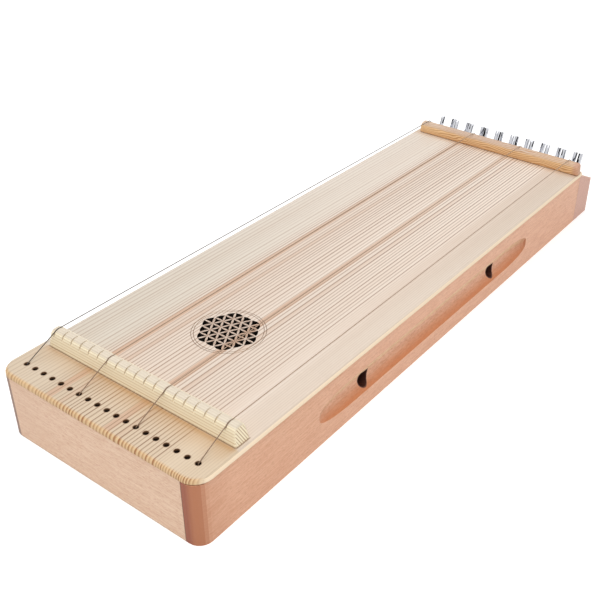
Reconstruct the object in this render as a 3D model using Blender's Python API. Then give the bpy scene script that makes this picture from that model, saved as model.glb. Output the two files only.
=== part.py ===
"""Monochord: a long shallow sound box with two bridges, four strings and nineteen tuning pins.

Metres, +Z up, +X along the strings towards the tuning pins. The origin is the middle of the
resting face. Places along the length are measured from the soundboard's near edge.
"""
import math

import bmesh
import bpy
from mathutils import Matrix, Vector

# Clearance between pieces that are glued, seated or turning
GAP = 0.0003

# Sound box
OVERALL_LENGTH = 0.618
BODY_WIDTH = 0.197
BODY_HEIGHT = 0.0542
NEAR_OVERHANG = 0.0006
SIDE_OVERHANG = 0.0015
SIDE_THICKNESS = 0.014
BODY_CORNER_RADIUS = 0.011
HITCH_BLOCK_LENGTH = 0.030
PIN_BLOCK_LENGTH = 0.036
PIN_BLOCK_EDGE_RADIUS = 0.004
BACK_THICKNESS = 0.004
REBATE_WIDTH = 0.007

# Soundboard
BOARD_THICKNESS = 0.0045
BOARD_CORNER_RADIUS = 0.0147
BOARD_TOP_ROUND = 0.003
BOARD_LOWER_ROUND = 0.0007

# Rosette: a hexagonal field of three-sided cut-outs between lens-shaped petals, in two engraved circles
ROSETTE_X = 0.1372
ROSETTE_Y = -0.0024
ROSETTE_CELL = 0.0085
ROSETTE_SIDE_CELLS = 3
PETAL_HALF_WIDTH = 0.00089
PETAL_END_HALF_WIDTH = 0.00025
PETAL_ARC_STEPS = 4
BORDER_SETBACK = 0.0004
INNER_CIRCLE_RADIUS = 0.0273
OUTER_CIRCLE_RADIUS = 0.0293
CIRCLE_WIDTH = 0.0005
CIRCLE_DEPTH = 0.0004
CIRCLE_SIDES = 64

# Finger coves and teardrop sound holes in the sides
COVE_START = 0.127
COVE_END = 0.461
COVE_RUN_OUT = 0.045
COVE_HALF_HEIGHT = 0.012
COVE_DEPTH = 0.007
NEAR_DROP_X = 0.1893
FAR_DROP_X = 0.3966
DROP_RADIUS = 0.0051
DROP_BELOW_MIDDLE = 0.0049
DROP_TIP_REACH = 0.0091
DROP_TIP_RISE = 0.0043

# Strings, their stations and their holes
STATIONS = 19
STRUNG_STATIONS = (1, 7, 13, 19)
OUTER_STRING_INSET = 0.01255
STRING_DIAMETER = 0.0006
HOLE_ROW_X = 0.0162
HOLE_RADIUS = 0.0022
HOLE_DEPTH_IN_BLOCK = 0.008
PASSAGE_RADIUS = 0.0011
BALL_SEAT_HEIGHT = 0.008
BALL_RADIUS = 0.002
BALL_HEIGHT = 0.003

# Bridges
NEAR_BRIDGE_X = 0.041
NEAR_BRIDGE_DEPTH = 0.014
NEAR_BRIDGE_HEIGHT = 0.014
NEAR_BRIDGE_END_INSET = 0.0045
NEAR_BRIDGE_SHIFT = -0.002
NEAR_BRIDGE_END_LEAN = 0.0022
FAR_BRIDGE_TO_JOINT = 0.0145
FAR_BRIDGE_DEPTH = 0.009
FAR_BRIDGE_HEIGHT = 0.0115
FAR_BRIDGE_CREST = 0.0075
FAR_BRIDGE_END_INSET = 0.0015
FAR_BRIDGE_SHIFT = -0.003
FAR_BRIDGE_END_LEAN = 0.0006
SLOT_WIDTH = 0.0013
SLOT_DEPTH = 0.0008
SLOT_FRONT_SLOPE = 0.95
SLOT_FLOOR_START = 0.0062
STRING_RISE = 0.478
STRING_BEND = 0.0055

# Tuning pins, square to the pin block's sloping top
BLOCK_SLOPE = math.radians(23.0)
BLOCK_TOP_STEP = 0.0002
FIRST_ROW_FROM_JOINT = 0.0162
ROW_SPACING = 0.0101
PIN_RADIUS = 0.0025
PIN_PROUD = 0.022
PIN_BURIED = 0.020
PIN_HEAD_LENGTH = 0.0125
PIN_HEAD_HALF_FLAT = 0.00215
PIN_TURN = math.radians(37.0)

# String winding on its pin
WINDING_TURNS = 3
WINDING_PITCH = 0.00108
WINDING_TOP = 0.0051
LOOP_POINTS = 24
BEND_REACH = 0.001

# Braces
NEAR_BRACE_X = 0.088
MIDDLE_BRACE_X = 0.188
FAR_BRACE_X = 0.380
BOARD_BRACE_WIDTH = 0.008
BOARD_BRACE_HEIGHT = 0.012
NEAR_BACK_BRACE_X = 0.200
FAR_BACK_BRACE_X = 0.400
BACK_BRACE_WIDTH = 0.012
BACK_BRACE_HEIGHT = 0.008
BRACE_END_HEIGHT = 0.004
BRACE_END_TAPER = 0.025

# Derived places
NEAR_EDGE = -OVERALL_LENGTH / 2
FAR_FACE = OVERALL_LENGTH / 2
HALF_WIDTH = BODY_WIDTH / 2
INNER_HALF_WIDTH = HALF_WIDTH - SIDE_THICKNESS
STRING_PITCH = 2 * (HALF_WIDTH - OUTER_STRING_INSET) / (STATIONS - 1)
NEAR_BRIDGE_LENGTH = BODY_WIDTH - 2 * NEAR_BRIDGE_END_INSET
FAR_BRIDGE_LENGTH = BODY_WIDTH - 2 * FAR_BRIDGE_END_INSET
BODY_NEAR = NEAR_EDGE + NEAR_OVERHANG
HITCH_BLOCK_REAR = BODY_NEAR + HITCH_BLOCK_LENGTH
JOINT_X = FAR_FACE - PIN_BLOCK_LENGTH
FAR_BRIDGE_FRONT = JOINT_X - FAR_BRIDGE_TO_JOINT
BOARD_UNDERSIDE = BODY_HEIGHT + GAP
BOARD_TOP = BOARD_UNDERSIDE + BOARD_THICKNESS
BRIDGE_FOOT = BOARD_TOP + GAP
REBATE_HEIGHT = BACK_THICKNESS + GAP
STRING_RADIUS = STRING_DIAMETER / 2
CUT_MARGIN = 0.002


def along(distance):
    """X of a place given from the soundboard's near edge."""
    return NEAR_EDGE + distance


def station_y(station):
    """Y of a string station; station 1 is at the left, on +Y."""
    return (STATIONS + 1 - 2 * station) / 2 * STRING_PITCH


def linear(channel):
    """Linear value of an sRGB channel from 0 to 255."""
    value = channel / 255
    if value <= 0.04045:
        return value / 12.92
    return ((value + 0.055) / 1.055) ** 2.4


def make_material(name, colour, roughness, metallic=0.0):
    """Principled material with the piece's plain colour."""
    material = bpy.data.materials.new(name)
    material.use_nodes = True
    shader = material.node_tree.nodes["Principled BSDF"]
    shader.inputs["Base Color"].default_value = (*[linear(channel) for channel in colour], 1.0)
    shader.inputs["Roughness"].default_value = roughness
    shader.inputs["Metallic"].default_value = metallic
    return material


def add_object(name, mesh, material=None):
    """New object in the scene with the given mesh or curve."""
    made = bpy.data.objects.new(name, mesh)
    bpy.context.scene.collection.objects.link(made)
    if material:
        mesh.materials.append(material)
    return made


def mesh_from(bm, name, smooth_angle=None):
    """Closed mesh with its faces pointing out."""
    bmesh.ops.recalc_face_normals(bm, faces=bm.faces)
    mesh = bpy.data.meshes.new(name)
    bm.to_mesh(mesh)
    bm.free()
    if smooth_angle:
        mesh.shade_smooth()
        mesh.set_sharp_from_angle(angle=smooth_angle)
    return mesh


def loft(bm, rings):
    """Skin between rings of equal length, with both ends capped."""
    loops = [[bm.verts.new(point) for point in ring] for ring in rings]
    for lower, upper in zip(loops, loops[1:]):
        count = len(lower)
        for i in range(count):
            j = (i + 1) % count
            bm.faces.new((lower[i], lower[j], upper[j], upper[i]))
    bm.faces.new(loops[0][::-1])
    bm.faces.new(loops[-1])


def box(bm, x0, x1, y0, y1, z0, z1):
    """Rectangular block between two corners."""
    outline = ((x0, y0), (x1, y0), (x1, y1), (x0, y1))
    loft(bm, [[(x, y, z) for x, y in outline] for z in (z0, z1)])


def arc(centre_u, centre_v, radius, start, end, steps):
    """Points on an arc, both ends included."""
    angles = [start + (end - start) * i / steps for i in range(steps + 1)]
    return [(centre_u + radius * math.cos(a), centre_v + radius * math.sin(a)) for a in angles]


def circle_ring(centre, axis_u, axis_v, radius, sides):
    """Ring of points round a centre, in the plane of two unit vectors."""
    ring = []
    for i in range(sides):
        angle = 2 * math.pi * i / sides
        ring.append(centre + axis_u * radius * math.cos(angle) + axis_v * radius * math.sin(angle))
    return ring


def turned(bm, base, axis, profile, sides):
    """Turned solid from (height, radius) pairs along an axis."""
    axis_v = Vector((0, 1, 0))
    axis_u = axis_v.cross(axis).normalized()
    loft(bm, [circle_ring(base + axis * h, axis_u, axis_v, r, sides) for h, r in profile])


def cut(target, bm, name):
    """Subtract a cutter built in bmesh from an object."""
    cutter = add_object(name, mesh_from(bm, name))
    cutter.hide_render = True
    cutter.display_type = "WIRE"
    modifier = target.modifiers.new(name, "BOOLEAN")
    modifier.operation = "DIFFERENCE"
    modifier.solver = "EXACT"
    modifier.object = cutter


def board_outline(inset, z):
    """Soundboard outline in plan, drawn in by an inset on its three free edges."""
    radius = BOARD_CORNER_RADIUS - inset
    x = NEAR_EDGE + inset
    y = HALF_WIDTH + SIDE_OVERHANG - inset
    far = JOINT_X - GAP
    quarter = math.pi / 2
    outline = arc(x + radius, y - radius, radius, quarter, 2 * quarter, 7)
    outline += arc(x + radius, -y + radius, radius, 2 * quarter, 3 * quarter, 7)
    outline += [(far, -y), (far, y)]
    return [(px, py, z) for px, py in outline]


def soundboard_blank(bm):
    """Board with rounded near corners and rounded upper edges."""
    rings = [board_outline(BOARD_LOWER_ROUND, BOARD_UNDERSIDE)]
    rings.append(board_outline(0.0, BOARD_UNDERSIDE + BOARD_LOWER_ROUND))
    steps = 4
    for i in range(steps + 1):
        angle = math.pi / 2 * i / steps
        inset = BOARD_TOP_ROUND * (1 - math.cos(angle))
        rings.append(board_outline(inset, BOARD_TOP - BOARD_TOP_ROUND * (1 - math.sin(angle))))
    loft(bm, rings)


def lattice_nodes():
    """Nodes of the rosette's triangular lattice, by their two lattice indices."""
    span = range(-ROSETTE_SIDE_CELLS, ROSETTE_SIDE_CELLS + 1)
    return {(i, j) for i in span for j in span if abs(i + j) <= ROSETTE_SIDE_CELLS}


def lattice_point(i, j):
    """Place of a lattice node in the rosette's own plane; one row runs along Y."""
    return Vector((i * ROSETTE_CELL * math.cos(math.pi / 6), (j + i / 2) * ROSETTE_CELL))


def petal_sizes():
    """Radius of a petal's edge, and how far from a node the edges of two petals meet."""
    bow = PETAL_HALF_WIDTH - PETAL_END_HALF_WIDTH
    half = ROSETTE_CELL / 2
    radius = (half ** 2 + bow ** 2) / (2 * bow)
    centre_drop = radius - PETAL_HALF_WIDTH
    reach = half * math.cos(math.pi / 6) - centre_drop * math.sin(math.pi / 6)
    meeting = reach + math.sqrt(reach ** 2 - half ** 2 - centre_drop ** 2 + radius ** 2)
    return radius, meeting


def petal_arc(start_node, end_node, third_node):
    """Edge of the petal between two nodes, bowed towards the third node of the cell."""
    radius, meeting = petal_sizes()
    chord_middle = (start_node + end_node) / 2
    centre = chord_middle - (third_node - chord_middle).normalized() * (radius - PETAL_HALF_WIDTH)
    middle = (start_node + end_node + third_node) / 3
    first = start_node + (middle - start_node).normalized() * meeting
    last = end_node + (middle - end_node).normalized() * meeting
    a0 = math.atan2(first.y - centre.y, first.x - centre.x)
    a1 = math.atan2(last.y - centre.y, last.x - centre.x)
    turn = (a1 - a0 + math.pi) % (2 * math.pi) - math.pi
    return arc(centre.x, centre.y, radius, a0, a0 + turn, PETAL_ARC_STEPS)


def border_arc(start_node, end_node, third_node):
    """Outer edge of a border cell, swung about the cell's third node."""
    radius = ROSETTE_CELL - BORDER_SETBACK
    first, last = start_node - third_node, end_node - third_node
    a0 = math.atan2(first.y, first.x)
    turn = (math.atan2(last.y, last.x) - a0 + math.pi) % (2 * math.pi) - math.pi
    ease = math.copysign(PETAL_END_HALF_WIDTH / radius, turn)
    return arc(third_node.x, third_node.y, radius, a0 + ease, a0 + turn - ease, PETAL_ARC_STEPS)


def lattice_cells():
    """Three-sided cells of the lattice, each as its three nodes."""
    nodes = lattice_nodes()
    cells = []
    for i, j in sorted(nodes):
        for cell in (((i, j), (i + 1, j), (i, j + 1)), ((i, j), (i + 1, j), (i + 1, j - 1))):
            if all(node in nodes for node in cell):
                cells.append(cell)
    return cells


def cell_outline(cell, cells):
    """Outline of a cut-out: bowed in along petals, bowed out along the border."""
    outline = []
    for turn in range(3):
        start, end, third = cell[turn:] + cell[:turn]
        on_border = sum(start in other and end in other for other in cells) == 1
        side = border_arc if on_border else petal_arc
        outline += side(lattice_point(*start), lattice_point(*end), lattice_point(*third))
    return [point for i, point in enumerate(outline) if math.dist(point, outline[i - 1]) > GAP / 10]


def rosette_cutters(bm):
    """One prism for each three-sided cut-out of the rosette."""
    cells = lattice_cells()
    for cell in cells:
        outline = cell_outline(cell, cells)
        loft(bm, [
            [(along(ROSETTE_X) + u, ROSETTE_Y + v, z) for u, v in outline]
            for z in (BOARD_UNDERSIDE - CUT_MARGIN, BOARD_TOP + CUT_MARGIN)
        ])


def ring_cutter(bm, centre, inner, outer, z0, z1, sides):
    """Flat ring of square section."""
    across = Vector((1, 0, 0)), Vector((0, 1, 0))
    loops = []
    for radius, z in ((inner, z0), (outer, z0), (outer, z1), (inner, z1)):
        points = circle_ring(Vector((*centre, z)), *across, radius, sides)
        loops.append([bm.verts.new(point) for point in points])
    for first, second in zip(loops, loops[1:] + loops[:1]):
        for i in range(sides):
            j = (i + 1) % sides
            bm.faces.new((first[i], first[j], second[j], second[i]))


def build_soundboard(material):
    """Spruce top with its rosette, the circles round it and its row of string holes."""
    bm = bmesh.new()
    soundboard_blank(bm)
    board = add_object("soundboard", mesh_from(bm, "soundboard"), material)
    bm = bmesh.new()
    rosette_cutters(bm)
    cut(board, bm, "rosette_cutters")
    bm = bmesh.new()
    for radius in (INNER_CIRCLE_RADIUS, OUTER_CIRCLE_RADIUS):
        ring_cutter(bm, (along(ROSETTE_X), ROSETTE_Y), radius - CIRCLE_WIDTH / 2, radius + CIRCLE_WIDTH / 2,
                    BOARD_TOP - CIRCLE_DEPTH, BOARD_TOP + CUT_MARGIN, CIRCLE_SIDES)
    cut(board, bm, "circle_cutters")
    bm = bmesh.new()
    up = Vector((0, 0, 1))
    depth = BOARD_THICKNESS + 2 * CUT_MARGIN
    for station in range(1, STATIONS + 1):
        base = Vector((along(HOLE_ROW_X), station_y(station), BOARD_UNDERSIDE - CUT_MARGIN))
        turned(bm, base, up, ((0, HOLE_RADIUS), (depth, HOLE_RADIUS)), 10)
    cut(board, bm, "string_hole_cutters")


def near_corner():
    """Rounded near corner of the box in plan, from the near face to the side on +Y."""
    radius = BODY_CORNER_RADIUS
    return arc(BODY_NEAR + radius, HALF_WIDTH - radius, radius, math.pi, math.pi / 2, 6)


def side_outline(sign, z):
    """Side board in plan: the right one turns the near corner, the left one stops at the near block."""
    if sign < 0:
        outline = [(BODY_NEAR, INNER_HALF_WIDTH)] + near_corner()
    else:
        outline = [(HITCH_BLOCK_REAR + GAP, INNER_HALF_WIDTH), (HITCH_BLOCK_REAR + GAP, HALF_WIDTH)]
    outline += [(JOINT_X - GAP, HALF_WIDTH), (JOINT_X - GAP, INNER_HALF_WIDTH)]
    return [(x, sign * y, z) for x, y in outline]


def cove_cutter(bm, sign):
    """Round tool path whose ends run out in half ellipses."""
    tool_radius = (COVE_HALF_HEIGHT ** 2 + COVE_DEPTH ** 2) / (2 * COVE_DEPTH)
    offset = tool_radius - COVE_DEPTH
    steps = 6
    stations = []
    for i in range(steps + 1):
        angle = math.pi / 2 * i / steps
        stations.append((COVE_RUN_OUT * (1 - math.cos(angle)), COVE_DEPTH * math.sin(angle)))
    rings = []
    places = [(COVE_START + run, depth) for run, depth in stations]
    places += [(COVE_END - run, depth) for run, depth in reversed(stations)]
    centre_y = sign * (HALF_WIDTH + offset)
    for place, depth in places:
        centre = Vector((along(place), centre_y, BODY_HEIGHT / 2))
        rings.append(circle_ring(centre, Vector((0, 1, 0)), Vector((0, 0, 1)), offset + depth, 24))
    loft(bm, rings)


def drop_outline(place):
    """Teardrop in the side's plane: a round bulb drawn out to a tip."""
    centre = Vector((along(place), BODY_HEIGHT / 2 - DROP_BELOW_MIDDLE))
    tip = Vector((DROP_TIP_REACH, DROP_TIP_RISE))
    heading = math.atan2(tip.y, tip.x)
    half_open = math.acos(DROP_RADIUS / tip.length)
    bulb = arc(centre.x, centre.y, DROP_RADIUS, heading + half_open,
               heading + 2 * math.pi - half_open, 12)
    return bulb + [tuple(centre + tip)]


def cut_string_passages(target, stations, name):
    """Stepped bore under each string hole: wide at the top, narrow, then a seat for a ball end."""
    seat_radius = BALL_RADIUS + GAP
    upper = BODY_HEIGHT - HOLE_DEPTH_IN_BLOCK
    profile = (
        (-CUT_MARGIN, seat_radius), (BALL_SEAT_HEIGHT, seat_radius),
        (BALL_SEAT_HEIGHT, PASSAGE_RADIUS), (upper, PASSAGE_RADIUS),
        (upper, HOLE_RADIUS), (BODY_HEIGHT + CUT_MARGIN, HOLE_RADIUS),
    )
    bm = bmesh.new()
    for station in stations:
        base = Vector((along(HOLE_ROW_X), station_y(station), 0.0))
        turned(bm, base, Vector((0, 0, 1)), profile, 8)
    cut(target, bm, name)


def build_side(name, sign, material):
    """Side board with its rebate, finger cove and two teardrop holes."""
    bm = bmesh.new()
    loft(bm, [side_outline(sign, z) for z in (0.0, BODY_HEIGHT)])
    side = add_object(name, mesh_from(bm, name), material)
    bm = bmesh.new()
    inner = sign * (INNER_HALF_WIDTH - CUT_MARGIN)
    outer = sign * (INNER_HALF_WIDTH + REBATE_WIDTH)
    start = HITCH_BLOCK_REAR - REBATE_WIDTH
    box(bm, start, JOINT_X + CUT_MARGIN, min(inner, outer), max(inner, outer), -CUT_MARGIN, REBATE_HEIGHT)
    cut(side, bm, name + "_rebate_cutter")
    bm = bmesh.new()
    cove_cutter(bm, sign)
    cut(side, bm, name + "_cove_cutter")
    bm = bmesh.new()
    for place in (NEAR_DROP_X, FAR_DROP_X):
        outline = drop_outline(place)
        depths = (INNER_HALF_WIDTH - CUT_MARGIN, HALF_WIDTH + CUT_MARGIN)
        loft(bm, [[(x, sign * y, z) for x, z in outline] for y in depths])
    cut(side, bm, name + "_drop_cutters")
    if sign < 0:
        cut_string_passages(side, (STATIONS,), name + "_passage_cutter")


def build_hitch_block(material):
    """Near block: its front is the near end face, it turns the left corner and holds the string bores."""
    right = GAP - INNER_HALF_WIDTH
    outline = near_corner() + [(HITCH_BLOCK_REAR, HALF_WIDTH), (HITCH_BLOCK_REAR, right), (BODY_NEAR, right)]
    bm = bmesh.new()
    loft(bm, [[(x, y, z) for x, y in outline] for z in (0.0, BODY_HEIGHT)])
    block = add_object("hitch_block", mesh_from(bm, "hitch_block"), material)
    bm = bmesh.new()
    start = HITCH_BLOCK_REAR - REBATE_WIDTH
    box(bm, start, HITCH_BLOCK_REAR + CUT_MARGIN, right - CUT_MARGIN, INNER_HALF_WIDTH + REBATE_WIDTH,
        -CUT_MARGIN, REBATE_HEIGHT)
    cut(block, bm, "hitch_rebate_cutter")
    cut_string_passages(block, range(1, STATIONS + 1), "string_passage_cutters")


def block_top(x):
    """Height of the pin block's sloping top at a place X."""
    return BODY_HEIGHT - BLOCK_TOP_STEP - (x - JOINT_X) * math.tan(BLOCK_SLOPE)


def pin_axis():
    """Unit vector up a tuning pin, square to the block's top."""
    return Vector((math.sin(BLOCK_SLOPE), 0.0, math.cos(BLOCK_SLOPE)))


def pin_place(station):
    """Point where a pin's axis meets the block's top; odd stations are in the first row."""
    row = (station + 1) % 2
    x = JOINT_X + FIRST_ROW_FROM_JOINT + row * ROW_SPACING * math.cos(BLOCK_SLOPE)
    return Vector((x, station_y(station), block_top(x)))


def build_pin_block(material):
    """Far block with a sloping top, eased far edges and a bore for each pin."""
    near = JOINT_X
    outline = ((near, 0.0), (FAR_FACE, 0.0), (FAR_FACE, block_top(FAR_FACE)), (near, block_top(near)))
    bm = bmesh.new()
    loft(bm, [[(x, y, z) for x, z in outline] for y in (-HALF_WIDTH, HALF_WIDTH)])
    eased = []
    for edge in bm.edges:
        at_far_face = all(vert.co.x > FAR_FACE - GAP for vert in edge.verts)
        on_base = all(vert.co.z < GAP for vert in edge.verts)
        if at_far_face and not on_base:
            eased.append(edge)
    bmesh.ops.bevel(bm, geom=eased, offset=PIN_BLOCK_EDGE_RADIUS, segments=3, profile=0.5, affect="EDGES")
    block = add_object("pin_block", mesh_from(bm, "pin_block"), material)
    bm = bmesh.new()
    reach = INNER_HALF_WIDTH + REBATE_WIDTH
    box(bm, near - CUT_MARGIN, near + REBATE_WIDTH, -reach, reach, -CUT_MARGIN, REBATE_HEIGHT)
    cut(block, bm, "pin_block_rebate_cutter")
    bm = bmesh.new()
    radius = PIN_RADIUS + GAP
    profile = ((-PIN_BURIED - GAP, radius), (CUT_MARGIN, radius))
    for station in range(1, STATIONS + 1):
        turned(bm, pin_place(station), pin_axis(), profile, 12)
    cut(block, bm, "pin_bore_cutters")


def build_back_board(material):
    """Thin bottom let into the rebates of the sides and the two blocks."""
    half = INNER_HALF_WIDTH + REBATE_WIDTH - GAP
    start = HITCH_BLOCK_REAR - REBATE_WIDTH + GAP
    end = JOINT_X + REBATE_WIDTH - GAP
    bm = bmesh.new()
    box(bm, start, end, -half, half, 0.0, BACK_THICKNESS)
    add_object("back_board", mesh_from(bm, "back_board"), material)


def build_brace(name, place, width, height, z_glued, direction, material):
    """Bar across the box, its free edge tapered towards both ends."""
    half = INNER_HALF_WIDTH - GAP
    full = z_glued + direction * height
    shallow = z_glued + direction * BRACE_END_HEIGHT
    inner = half - BRACE_END_TAPER
    outline = ((-half, z_glued), (half, z_glued), (half, shallow), (inner, full), (-inner, full), (-half, shallow))
    x = along(place)
    bm = bmesh.new()
    loft(bm, [[(px, y, z) for y, z in outline] for px in (x - width / 2, x + width / 2)])
    add_object(name, mesh_from(bm, name), material)


def build_braces(material):
    """Bars under the soundboard and on the back board."""
    for number, place in enumerate((NEAR_BRACE_X, MIDDLE_BRACE_X, FAR_BRACE_X), 1):
        build_brace(f"board_brace_{number}", place, BOARD_BRACE_WIDTH, BOARD_BRACE_HEIGHT,
                    BOARD_UNDERSIDE - GAP, -1, material)
    for number, place in enumerate((NEAR_BACK_BRACE_X, FAR_BACK_BRACE_X), 1):
        build_brace(f"back_brace_{number}", place, BACK_BRACE_WIDTH, BACK_BRACE_HEIGHT,
                    BACK_THICKNESS + GAP, 1, material)


def near_bridge_profile():
    """Section of the near bridge: leaning front, arched top, foot at zero."""
    depth, height = NEAR_BRIDGE_DEPTH, NEAR_BRIDGE_HEIGHT
    shoulder = height * 0.72
    lean = depth * 0.12
    half = depth / 2 - lean
    points = [(0.0, 0.0), (lean, shoulder)]
    steps = 6
    for i in range(1, steps):
        angle = math.pi * (1 - i / steps)
        points.append((depth / 2 + half * math.cos(angle), shoulder + (height - shoulder) * math.sin(angle)))
    points += [(depth - lean, shoulder), (depth, 0.0)]
    return points


def far_bridge_profile():
    """Section of the far bridge: upright front, top rising to a crest near the rear."""
    depth, height = FAR_BRIDGE_DEPTH, FAR_BRIDGE_HEIGHT
    front = height * 0.58
    crest = FAR_BRIDGE_CREST
    points = [(0.0, 0.0), (0.0, front)]
    steps = 5
    for i in range(1, steps + 1):
        angle = math.pi / 2 * i / steps
        points.append((crest * (1 - math.cos(angle)), front + (height - front) * math.sin(angle)))
    points += [(depth, height - (depth - crest)), (depth, 0.0)]
    return points


def bridge_rings(profile, front, length, shift, lean, end_round):
    """Sections along a bridge; its ends lean in towards the top and are rounded over."""
    depth = max(u for u, v in profile)
    height = max(v for u, v in profile)
    steps = 3
    ends = []
    for i in range(steps + 1):
        angle = math.pi / 2 * i / steps
        ends.append((end_round * (1 - math.sin(angle)), end_round * (1 - math.cos(angle)) / depth))
    rings = []
    for sign, sections in ((-1, reversed(ends)), (1, ends)):
        for setback, narrowing in sections:
            ring = []
            for u, v in profile:
                x = front + depth / 2 + (u - depth / 2) * (1 - 2 * narrowing)
                y = shift + sign * (length / 2 - setback - lean * v / height)
                ring.append((x, y, BRIDGE_FOOT + v * (1 - narrowing * depth / height)))
            rings.append(ring)
    return rings


def slot_floor():
    """Height of a string slot's level floor."""
    return BRIDGE_FOOT + NEAR_BRIDGE_HEIGHT - SLOT_DEPTH


def build_near_bridge(material):
    """Pale bar with a slot for each string station, sawn down its front."""
    front = along(NEAR_BRIDGE_X)
    bm = bmesh.new()
    loft(bm, bridge_rings(near_bridge_profile(), front, NEAR_BRIDGE_LENGTH, NEAR_BRIDGE_SHIFT,
                          NEAR_BRIDGE_END_LEAN, 0.0016))
    bridge = add_object("near_bridge", mesh_from(bm, "near_bridge"), material)
    floor = slot_floor()
    high = floor + SLOT_DEPTH + CUT_MARGIN
    rear = front + NEAR_BRIDGE_DEPTH
    foot = floor - SLOT_FLOOR_START * SLOT_FRONT_SLOPE
    outline = ((front, high), (front, foot), (front + SLOT_FLOOR_START, floor), (rear, floor), (rear, high))
    bm = bmesh.new()
    for station in range(1, STATIONS + 1):
        y = station_y(station)
        loft(bm, [[(x, py, z) for x, z in outline] for py in (y - SLOT_WIDTH / 2, y + SLOT_WIDTH / 2)])
    cut(bridge, bm, "slot_cutters")


def build_far_bridge(material):
    """Hardwood strip across the whole width, with its ends rounded over."""
    bm = bmesh.new()
    loft(bm, bridge_rings(far_bridge_profile(), FAR_BRIDGE_FRONT, FAR_BRIDGE_LENGTH, FAR_BRIDGE_SHIFT,
                          FAR_BRIDGE_END_LEAN, 0.0025))
    add_object("far_bridge", mesh_from(bm, "far_bridge"), material)


def head_ring(z, half_flat, corner_radius, sides):
    """Ring of a square head whose corners are cut back to a round."""
    ring = []
    for i in range(sides):
        angle = 2 * math.pi * i / sides
        reach = half_flat / max(abs(math.cos(angle)), abs(math.sin(angle)))
        radius = min(reach, corner_radius)
        ring.append((radius * math.cos(angle), radius * math.sin(angle), z))
    return ring


def pin_mesh(material):
    """Tuning pin along its own Z, with zero where it leaves the block."""
    sides = 12
    chamfer = 0.0005
    neck = PIN_PROUD - PIN_HEAD_LENGTH
    tip_flat = PIN_HEAD_HALF_FLAT * 0.93
    rings = [
        head_ring(-PIN_BURIED, PIN_RADIUS, PIN_RADIUS - chamfer, sides),
        head_ring(-PIN_BURIED + chamfer, PIN_RADIUS, PIN_RADIUS, sides),
        head_ring(neck, PIN_RADIUS, PIN_RADIUS, sides),
        head_ring(neck + 2 * chamfer, PIN_HEAD_HALF_FLAT, PIN_RADIUS, sides),
        head_ring(PIN_PROUD - chamfer, tip_flat, PIN_RADIUS, sides),
        head_ring(PIN_PROUD, tip_flat - chamfer, PIN_RADIUS, sides),
    ]
    bm = bmesh.new()
    loft(bm, rings)
    mesh = mesh_from(bm, "tuning_pin", math.radians(35))
    mesh.materials.append(material)
    return mesh


def build_pins(material):
    """Nineteen pins that share one mesh, each left at an angle of its own on its axis."""
    mesh = pin_mesh(material)
    for station in range(1, STATIONS + 1):
        pin = add_object(f"tuning_pin_{station:02d}", mesh)
        lean = Matrix.Rotation(BLOCK_SLOPE, 4, "Y")
        pin.matrix_world = Matrix.Translation(pin_place(station)) @ lean @ Matrix.Rotation(PIN_TURN * station, 4, "Z")


def rounded_route(corners, reach, steps):
    """Path through its corners, each one rounded from a given reach before it."""
    route = [corners[0]]
    for before, corner, after in zip(corners, corners[1:], corners[2:]):
        start = corner + (before - corner).normalized() * reach
        end = corner + (after - corner).normalized() * reach
        for i in range(steps + 1):
            t = i / steps
            route.append(start * (1 - t) ** 2 + corner * 2 * t * (1 - t) + end * t ** 2)
    route.append(corners[-1])
    return route


def winding_points(station):
    """Turns of wire down the pin, starting on its -Y flank."""
    base = pin_place(station)
    axis = pin_axis()
    across = Vector((0, 1, 0))
    forward = across.cross(axis)
    radius = PIN_RADIUS + GAP + STRING_RADIUS
    points = []
    for i in range(WINDING_TURNS * LOOP_POINTS + 1):
        angle = -math.pi / 2 + 2 * math.pi * i / LOOP_POINTS
        height = WINDING_TOP - WINDING_PITCH * i / LOOP_POINTS
        points.append(base + axis * height + radius * (forward * math.cos(angle) + across * math.sin(angle)))
    return points


def string_corners(station):
    """Places where the wire turns between its ball end and its pin."""
    y = station_y(station)
    hole = along(HOLE_ROW_X)
    over_far_crest = BRIDGE_FOOT + FAR_BRIDGE_HEIGHT + 2 * GAP + STRING_RADIUS
    over_slot = slot_floor() + GAP + STRING_RADIUS
    bend = along(NEAR_BRIDGE_X) + STRING_BEND
    corners = [
        (hole, BALL_SEAT_HEIGHT),
        (hole, over_slot - (bend - hole) * STRING_RISE),
        (bend, over_slot),
        (FAR_BRIDGE_FRONT + FAR_BRIDGE_CREST + GAP, over_far_crest),
    ]
    return [Vector((x, y, z)) for x, z in corners]


def least_self_gap(points, tube_radius):
    """Smallest clear distance between stretches of the tube that aren't neighbours."""
    least = math.inf
    skip = LOOP_POINTS // 2
    for i, first in enumerate(points):
        for second in points[i + skip:]:
            least = min(least, (second - first).length)
    return least - 2 * tube_radius


def build_string(station, material):
    """One unbroken wire from its ball end to the last turn on its pin."""
    winding = winding_points(station)
    lead_in = winding[0] - (winding[1] - winding[0]) * 2
    corners = string_corners(station) + [lead_in, winding[0]]
    points = rounded_route(corners, BEND_REACH, 4)[:-1] + winding
    points.append(winding[-1] + (winding[-1] - winding[-2]).normalized() * STRING_DIAMETER)
    coil = points[-len(winding) - 6:]
    print(f"string {station}: least gap in its winding {least_self_gap(coil, STRING_RADIUS) * 1000:.2f} mm")
    curve = bpy.data.curves.new(f"string_{station:02d}", "CURVE")
    curve.dimensions = "3D"
    curve.bevel_depth = STRING_RADIUS
    curve.bevel_resolution = 1
    curve.use_fill_caps = True
    spline = curve.splines.new("POLY")
    spline.points.add(len(points) - 1)
    for slot, point in zip(spline.points, points):
        slot.co = (*point, 1.0)
    add_object(f"string_{station:02d}", curve, material)


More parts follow.
